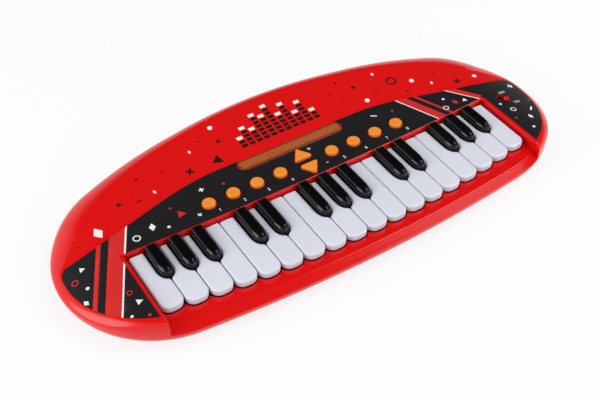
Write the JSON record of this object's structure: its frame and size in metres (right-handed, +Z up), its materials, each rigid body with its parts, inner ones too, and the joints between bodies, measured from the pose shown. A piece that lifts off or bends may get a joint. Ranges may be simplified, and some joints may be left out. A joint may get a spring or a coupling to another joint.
{
  "type": "toy electronic keyboard",
  "caption": "Toy electronic keyboard in a rounded glossy casing with sprung piano keys, press buttons, a lamp window and a slide power switch.",
  "frame": {"origin": "centre of the footprint on the surface that the feet stand on", "axes": "+X along the key row to the treble end, +Y from the player to the back, +Z up"},
  "size_m": [0.416, 0.184, 0.0328],
  "materials": {
    "red_abs": "glossy injection-moulded red ABS",
    "printed_sheet": "black printed PVC sheet",
    "amber_lens": "tinted textured amber polystyrene",
    "white_abs": "satin white ABS",
    "black_abs": "glossy black ABS",
    "orange_abs": "satin orange ABS",
    "dark_plastic": "matt dark plastic",
    "steel": "zinc-plated steel",
    "silicone": "conductive silicone rubber",
    "circuit_board": "glass-epoxy board with green mask",
    "wire_jacket": "PVC wire jacket",
    "cell_wrap": "plain wrapped cell",
    "contact_spring": "nickel-plated spring steel",
    "foot_rubber": "moulded black rubber"
  },
  "bodies": {
    "case": {"upper_casing": "red_abs", "lower_casing": "red_abs", "panel_label": "printed_sheet", "light_window": "amber_lens", "key_frame": "dark_plastic", "pivot_rod": "steel", "key_contact_mat": "silicone", "key_board": "circuit_board", "button_contact_mat": "silicone", "main_board": "circuit_board", "wiring_loom": "wire_jacket", "switch_body": "steel", "speaker": "dark_plastic", "battery_cover": "red_abs", "batteries": "cell_wrap", "battery_contacts": "contact_spring", "case_screws": "steel", "rubber_feet": "foot_rubber"},
    "white_key_01": {"white_key_01": "white_abs"},
    "white_key_02": {"white_key_02": "white_abs"},
    "white_key_03": {"white_key_03": "white_abs"},
    "white_key_04": {"white_key_04": "white_abs"},
    "white_key_05": {"white_key_05": "white_abs"},
    "white_key_06": {"white_key_06": "white_abs"},
    "white_key_07": {"white_key_07": "white_abs"},
    "white_key_08": {"white_key_08": "white_abs"},
    "white_key_09": {"white_key_09": "white_abs"},
    "white_key_10": {"white_key_10": "white_abs"},
    "white_key_11": {"white_key_11": "white_abs"},
    "white_key_12": {"white_key_12": "white_abs"},
    "white_key_13": {"white_key_13": "white_abs"},
    "white_key_14": {"white_key_14": "white_abs"},
    "white_key_15": {"white_key_15": "white_abs"},
    "white_key_16": {"white_key_16": "white_abs"},
    "white_key_17": {"white_key_17": "white_abs"},
    "white_key_18": {"white_key_18": "white_abs"},
    "black_key_01": {"black_key_01": "black_abs"},
    "black_key_02": {"black_key_02": "black_abs"},
    "black_key_03": {"black_key_03": "black_abs"},
    "black_key_04": {"black_key_04": "black_abs"},
    "black_key_05": {"black_key_05": "black_abs"},
    "black_key_06": {"black_key_06": "black_abs"},
    "black_key_07": {"black_key_07": "black_abs"},
    "black_key_08": {"black_key_08": "black_abs"},
    "black_key_09": {"black_key_09": "black_abs"},
    "black_key_10": {"black_key_10": "black_abs"},
    "black_key_11": {"black_key_11": "black_abs"},
    "black_key_12": {"black_key_12": "black_abs"},
    "black_key_13": {"black_key_13": "black_abs"},
    "round_button_1": {"round_button_1": "orange_abs"},
    "round_button_2": {"round_button_2": "orange_abs"},
    "round_button_3": {"round_button_3": "orange_abs"},
    "round_button_4": {"round_button_4": "orange_abs"},
    "round_button_5": {"round_button_5": "orange_abs"},
    "round_button_6": {"round_button_6": "orange_abs"},
    "round_button_7": {"round_button_7": "orange_abs"},
    "round_button_8": {"round_button_8": "orange_abs"},
    "up_button": {"up_button": "orange_abs"},
    "down_button": {"down_button": "orange_abs"},
    "power_switch_knob": {"power_switch_knob": "red_abs"}
  },
  "joints": [
    {"name": "white_key_01_pivot", "type": "hinge", "parent": "case", "child": "white_key_01", "pos_m": [0, -0.0095, 0.0168], "axis": [1, 0, 0], "range_deg": [0, 2.2], "stiffness_Nm_per_rad": 0.5, "springref_deg": -5.73, "deforming": ["key_contact_mat"]},
    {"name": "white_key_02_pivot", "type": "hinge", "parent": "case", "child": "white_key_02", "pos_m": [0, -0.0095, 0.0168], "axis": [1, 0, 0], "range_deg": [0, 2.2], "stiffness_Nm_per_rad": 0.5, "springref_deg": -5.73, "deforming": ["key_contact_mat"]},
    {"name": "white_key_03_pivot", "type": "hinge", "parent": "case", "child": "white_key_03", "pos_m": [0, -0.0095, 0.0168], "axis": [1, 0, 0], "range_deg": [0, 2.2], "stiffness_Nm_per_rad": 0.5, "springref_deg": -5.73, "deforming": ["key_contact_mat"]},
    {"name": "white_key_04_pivot", "type": "hinge", "parent": "case", "child": "white_key_04", "pos_m": [0, -0.0095, 0.0168], "axis": [1, 0, 0], "range_deg": [0, 2.2], "stiffness_Nm_per_rad": 0.5, "springref_deg": -5.73, "deforming": ["key_contact_mat"]},
    {"name": "white_key_05_pivot", "type": "hinge", "parent": "case", "child": "white_key_05", "pos_m": [0, -0.0095, 0.0168], "axis": [1, 0, 0], "range_deg": [0, 2.2], "stiffness_Nm_per_rad": 0.5, "springref_deg": -5.73, "deforming": ["key_contact_mat"]},
    {"name": "white_key_06_pivot", "type": "hinge", "parent": "case", "child": "white_key_06", "pos_m": [0, -0.0095, 0.0168], "axis": [1, 0, 0], "range_deg": [0, 2.2], "stiffness_Nm_per_rad": 0.5, "springref_deg": -5.73, "deforming": ["key_contact_mat"]},
    {"name": "white_key_07_pivot", "type": "hinge", "parent": "case", "child": "white_key_07", "pos_m": [0, -0.0095, 0.0168], "axis": [1, 0, 0], "range_deg": [0, 2.2], "stiffness_Nm_per_rad": 0.5, "springref_deg": -5.73, "deforming": ["key_contact_mat"]},
    {"name": "white_key_08_pivot", "type": "hinge", "parent": "case", "child": "white_key_08", "pos_m": [0, -0.0095, 0.0168], "axis": [1, 0, 0], "range_deg": [0, 2.2], "stiffness_Nm_per_rad": 0.5, "springref_deg": -5.73, "deforming": ["key_contact_mat"]},
    {"name": "white_key_09_pivot", "type": "hinge", "parent": "case", "child": "white_key_09", "pos_m": [0, -0.0095, 0.0168], "axis": [1, 0, 0], "range_deg": [0, 2.2], "stiffness_Nm_per_rad": 0.5, "springref_deg": -5.73, "deforming": ["key_contact_mat"]},
    {"name": "white_key_10_pivot", "type": "hinge", "parent": "case", "child": "white_key_10", "pos_m": [0, -0.0095, 0.0168], "axis": [1, 0, 0], "range_deg": [0, 2.2], "stiffness_Nm_per_rad": 0.5, "springref_deg": -5.73, "deforming": ["key_contact_mat"]},
    {"name": "white_key_11_pivot", "type": "hinge", "parent": "case", "child": "white_key_11", "pos_m": [0, -0.0095, 0.0168], "axis": [1, 0, 0], "range_deg": [0, 2.2], "stiffness_Nm_per_rad": 0.5, "springref_deg": -5.73, "deforming": ["key_contact_mat"]},
    {"name": "white_key_12_pivot", "type": "hinge", "parent": "case", "child": "white_key_12", "pos_m": [0, -0.0095, 0.0168], "axis": [1, 0, 0], "range_deg": [0, 2.2], "stiffness_Nm_per_rad": 0.5, "springref_deg": -5.73, "deforming": ["key_contact_mat"]},
    {"name": "white_key_13_pivot", "type": "hinge", "parent": "case", "child": "white_key_13", "pos_m": [0, -0.0095, 0.0168], "axis": [1, 0, 0], "range_deg": [0, 2.2], "stiffness_Nm_per_rad": 0.5, "springref_deg": -5.73, "deforming": ["key_contact_mat"]},
    {"name": "white_key_14_pivot", "type": "hinge", "parent": "case", "child": "white_key_14", "pos_m": [0, -0.0095, 0.0168], "axis": [1, 0, 0], "range_deg": [0, 2.2], "stiffness_Nm_per_rad": 0.5, "springref_deg": -5.73, "deforming": ["key_contact_mat"]},
    {"name": "white_key_15_pivot", "type": "hinge", "parent": "case", "child": "white_key_15", "pos_m": [0, -0.0095, 0.0168], "axis": [1, 0, 0], "range_deg": [0, 2.2], "stiffness_Nm_per_rad": 0.5, "springref_deg": -5.73, "deforming": ["key_contact_mat"]},
    {"name": "white_key_16_pivot", "type": "hinge", "parent": "case", "child": "white_key_16", "pos_m": [0, -0.0095, 0.0168], "axis": [1, 0, 0], "range_deg": [0, 2.2], "stiffness_Nm_per_rad": 0.5, "springref_deg": -5.73, "deforming": ["key_contact_mat"]},
    {"name": "white_key_17_pivot", "type": "hinge", "parent": "case", "child": "white_key_17", "pos_m": [0, -0.0095, 0.0168], "axis": [1, 0, 0], "range_deg": [0, 2.2], "stiffness_Nm_per_rad": 0.5, "springref_deg": -5.73, "deforming": ["key_contact_mat"]},
    {"name": "white_key_18_pivot", "type": "hinge", "parent": "case", "child": "white_key_18", "pos_m": [0, -0.0095, 0.0168], "axis": [1, 0, 0], "range_deg": [0, 2.2], "stiffness_Nm_per_rad": 0.5, "springref_deg": -5.73, "deforming": ["key_contact_mat"]},
    {"name": "black_key_01_pivot", "type": "hinge", "parent": "case", "child": "black_key_01", "pos_m": [0, -0.0095, 0.0168], "axis": [1, 0, 0], "range_deg": [0, 2.2], "stiffness_Nm_per_rad": 0.5, "springref_deg": -5.73, "deforming": ["key_contact_mat"]},
    {"name": "black_key_02_pivot", "type": "hinge", "parent": "case", "child": "black_key_02", "pos_m": [0, -0.0095, 0.0168], "axis": [1, 0, 0], "range_deg": [0, 2.2], "stiffness_Nm_per_rad": 0.5, "springref_deg": -5.73, "deforming": ["key_contact_mat"]},
    {"name": "black_key_03_pivot", "type": "hinge", "parent": "case", "child": "black_key_03", "pos_m": [0, -0.0095, 0.0168], "axis": [1, 0, 0], "range_deg": [0, 2.2], "stiffness_Nm_per_rad": 0.5, "springref_deg": -5.73, "deforming": ["key_contact_mat"]},
    {"name": "black_key_04_pivot", "type": "hinge", "parent": "case", "child": "black_key_04", "pos_m": [0, -0.0095, 0.0168], "axis": [1, 0, 0], "range_deg": [0, 2.2], "stiffness_Nm_per_rad": 0.5, "springref_deg": -5.73, "deforming": ["key_contact_mat"]},
    {"name": "black_key_05_pivot", "type": "hinge", "parent": "case", "child": "black_key_05", "pos_m": [0, -0.0095, 0.0168], "axis": [1, 0, 0], "range_deg": [0, 2.2], "stiffness_Nm_per_rad": 0.5, "springref_deg": -5.73, "deforming": ["key_contact_mat"]},
    {"name": "black_key_06_pivot", "type": "hinge", "parent": "case", "child": "black_key_06", "pos_m": [0, -0.0095, 0.0168], "axis": [1, 0, 0], "range_deg": [0, 2.2], "stiffness_Nm_per_rad": 0.5, "springref_deg": -5.73, "deforming": ["key_contact_mat"]},
    {"name": "black_key_07_pivot", "type": "hinge", "parent": "case", "child": "black_key_07", "pos_m": [0, -0.0095, 0.0168], "axis": [1, 0, 0], "range_deg": [0, 2.2], "stiffness_Nm_per_rad": 0.5, "springref_deg": -5.73, "deforming": ["key_contact_mat"]},
    {"name": "black_key_08_pivot", "type": "hinge", "parent": "case", "child": "black_key_08", "pos_m": [0, -0.0095, 0.0168], "axis": [1, 0, 0], "range_deg": [0, 2.2], "stiffness_Nm_per_rad": 0.5, "springref_deg": -5.73, "deforming": ["key_contact_mat"]},
    {"name": "black_key_09_pivot", "type": "hinge", "parent": "case", "child": "black_key_09", "pos_m": [0, -0.0095, 0.0168], "axis": [1, 0, 0], "range_deg": [0, 2.2], "stiffness_Nm_per_rad": 0.5, "springref_deg": -5.73, "deforming": ["key_contact_mat"]},
    {"name": "black_key_10_pivot", "type": "hinge", "parent": "case", "child": "black_key_10", "pos_m": [0, -0.0095, 0.0168], "axis": [1, 0, 0], "range_deg": [0, 2.2], "stiffness_Nm_per_rad": 0.5, "springref_deg": -5.73, "deforming": ["key_contact_mat"]},
    {"name": "black_key_11_pivot", "type": "hinge", "parent": "case", "child": "black_key_11", "pos_m": [0, -0.0095, 0.0168], "axis": [1, 0, 0], "range_deg": [0, 2.2], "stiffness_Nm_per_rad": 0.5, "springref_deg": -5.73, "deforming": ["key_contact_mat"]},
    {"name": "black_key_12_pivot", "type": "hinge", "parent": "case", "child": "black_key_12", "pos_m": [0, -0.0095, 0.0168], "axis": [1, 0, 0], "range_deg": [0, 2.2], "stiffness_Nm_per_rad": 0.5, "springref_deg": -5.73, "deforming": ["key_contact_mat"]},
    {"name": "black_key_13_pivot", "type": "hinge", "parent": "case", "child": "black_key_13", "pos_m": [0, -0.0095, 0.0168], "axis": [1, 0, 0], "range_deg": [0, 2.2], "stiffness_Nm_per_rad": 0.5, "springref_deg": -5.73, "deforming": ["key_contact_mat"]},
    {"name": "round_button_1_press", "type": "slide", "parent": "case", "child": "round_button_1", "axis": [0, 0, -1], "range_m": [0, 0.0012], "stiffness_N_per_m": 200, "springref_m": -0.003, "deforming": ["button_contact_mat"]},
    {"name": "round_button_2_press", "type": "slide", "parent": "case", "child": "round_button_2", "axis": [0, 0, -1], "range_m": [0, 0.0012], "stiffness_N_per_m": 200, "springref_m": -0.003, "deforming": ["button_contact_mat"]},
    {"name": "round_button_3_press", "type": "slide", "parent": "case", "child": "round_button_3", "axis": [0, 0, -1], "range_m": [0, 0.0012], "stiffness_N_per_m": 200, "springref_m": -0.003, "deforming": ["button_contact_mat"]},
    {"name": "round_button_4_press", "type": "slide", "parent": "case", "child": "round_button_4", "axis": [0, 0, -1], "range_m": [0, 0.0012], "stiffness_N_per_m": 200, "springref_m": -0.003, "deforming": ["button_contact_mat"]},
    {"name": "round_button_5_press", "type": "slide", "parent": "case", "child": "round_button_5", "axis": [0, 0, -1], "range_m": [0, 0.0012], "stiffness_N_per_m": 200, "springref_m": -0.003, "deforming": ["button_contact_mat"]},
    {"name": "round_button_6_press", "type": "slide", "parent": "case", "child": "round_button_6", "axis": [0, 0, -1], "range_m": [0, 0.0012], "stiffness_N_per_m": 200, "springref_m": -0.003, "deforming": ["button_contact_mat"]},
    {"name": "round_button_7_press", "type": "slide", "parent": "case", "child": "round_button_7", "axis": [0, 0, -1], "range_m": [0, 0.0012], "stiffness_N_per_m": 200, "springref_m": -0.003, "deforming": ["button_contact_mat"]},
    {"name": "round_button_8_press", "type": "slide", "parent": "case", "child": "round_button_8", "axis": [0, 0, -1], "range_m": [0, 0.0012], "stiffness_N_per_m": 200, "springref_m": -0.003, "deforming": ["button_contact_mat"]},
    {"name": "up_button_press", "type": "slide", "parent": "case", "child": "up_button", "axis": [0, 0, -1], "range_m": [0, 0.0012], "stiffness_N_per_m": 200, "springref_m": -0.003, "deforming": ["button_contact_mat"]},
    {"name": "down_button_press", "type": "slide", "parent": "case", "child": "down_button", "axis": [0, 0, -1], "range_m": [0, 0.0012], "stiffness_N_per_m": 200, "springref_m": -0.003, "deforming": ["button_contact_mat"]},
    {"name": "power_switch_slide", "type": "slide", "parent": "case", "child": "power_switch_knob", "axis": [-0.5878, 0.809, 0], "range_m": [0, 0.005]}
  ]
}
